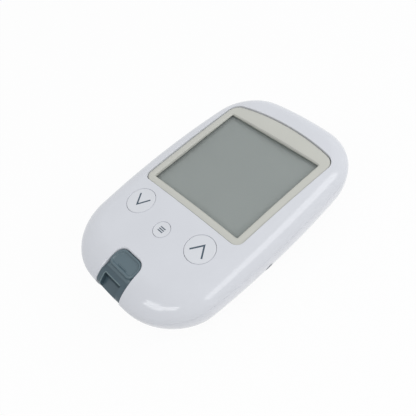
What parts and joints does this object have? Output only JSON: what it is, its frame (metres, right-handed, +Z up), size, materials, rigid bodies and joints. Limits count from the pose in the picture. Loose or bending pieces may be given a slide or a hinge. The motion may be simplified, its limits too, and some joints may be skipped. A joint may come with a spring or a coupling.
{
  "type": "blood glucose meter",
  "caption": "Hand-held blood glucose meter with a display, press keys, a test-strip port with a thumb ejector slider, and a hinged battery door.",
  "frame": {"origin": "middle of the footprint, at the level the meter rests on", "axes": "+Z up out of the display face, +Y towards the display end, -Y towards the test-strip end, +X towards the up key"},
  "size_m": [0.0612, 0.0959, 0.0248],
  "materials": {
    "case_white": "bluish white moulded ABS, glossy",
    "frame_cream": "warm grey-white moulding, fine satin",
    "window_clear": "clear acrylic lens",
    "lcd_grey": "reflective grey-green liquid crystal glass",
    "nose_slate": "blue-grey moulding, semi-gloss",
    "moulded_dark": "near-black component moulding",
    "holder_light": "natural light grey moulding",
    "board_green": "green solder mask on glass laminate",
    "elastomer": "striped conductive elastomer",
    "spring_steel": "nickel-plated steel",
    "contact_gilt": "gold-flashed contact strip",
    "cell_sleeve": "plain printed sleeve over steel"
  },
  "bodies": {
    "case": {"back_shell": "case_white", "battery_plate_1": "spring_steel", "battery_plate_2": "spring_steel", "battery_spring_1": "spring_steel", "battery_spring_2": "spring_steel", "board_screw_1": "spring_steel", "board_screw_2": "spring_steel", "buzzer": "moulded_dark", "case_screw_1": "spring_steel", "case_screw_2": "spring_steel", "case_screw_3": "spring_steel", "case_screw_4": "spring_steel", "cell_1": "cell_sleeve", "cell_2": "cell_sleeve", "circuit_board": "board_green", "data_jack": "moulded_dark", "display_frame": "frame_cream", "display_window": "window_clear", "ejector_spring": "spring_steel", "front_shell": "case_white", "lcd_holder": "holder_light", "lcd_panel": "lcd_grey", "port_housing": "nose_slate", "processor_chip": "moulded_dark", "strip_connector": "moulded_dark", "strip_contact_1": "contact_gilt", "strip_contact_2": "contact_gilt", "strip_contact_3": "contact_gilt", "strip_contact_4": "contact_gilt", "switch_down": "moulded_dark", "switch_middle": "moulded_dark", "switch_up": "moulded_dark", "zebra_strip": "elastomer"},
    "down_key": {"down_button": "case_white"},
    "middle_key": {"middle_button": "case_white"},
    "up_key": {"up_button": "case_white"},
    "slider": {"ejector_slider": "nose_slate"},
    "door": {"battery_door": "case_white"}
  },
  "joints": [
    {"name": "down_press", "type": "slide", "parent": "case", "child": "down_key", "axis": [0, 0, -1], "range_m": [0, 0.0006], "stiffness_N_per_m": 1200},
    {"name": "middle_press", "type": "slide", "parent": "case", "child": "middle_key", "axis": [0, 0, -1], "range_m": [0, 0.0006], "stiffness_N_per_m": 1200},
    {"name": "up_press", "type": "slide", "parent": "case", "child": "up_key", "axis": [0, 0, -1], "range_m": [0, 0.0006], "stiffness_N_per_m": 1200},
    {"name": "eject_slide", "type": "slide", "parent": "case", "child": "slider", "axis": [0, -1, 0], "range_m": [0, 0.0025], "stiffness_N_per_m": 400, "deforming": ["ejector_spring"]},
    {"name": "door_hinge", "type": "hinge", "parent": "case", "child": "door", "pos_m": [0, 0.0312, 0.00165], "axis": [1, 0, 0], "range_deg": [0, 90]}
  ]
}
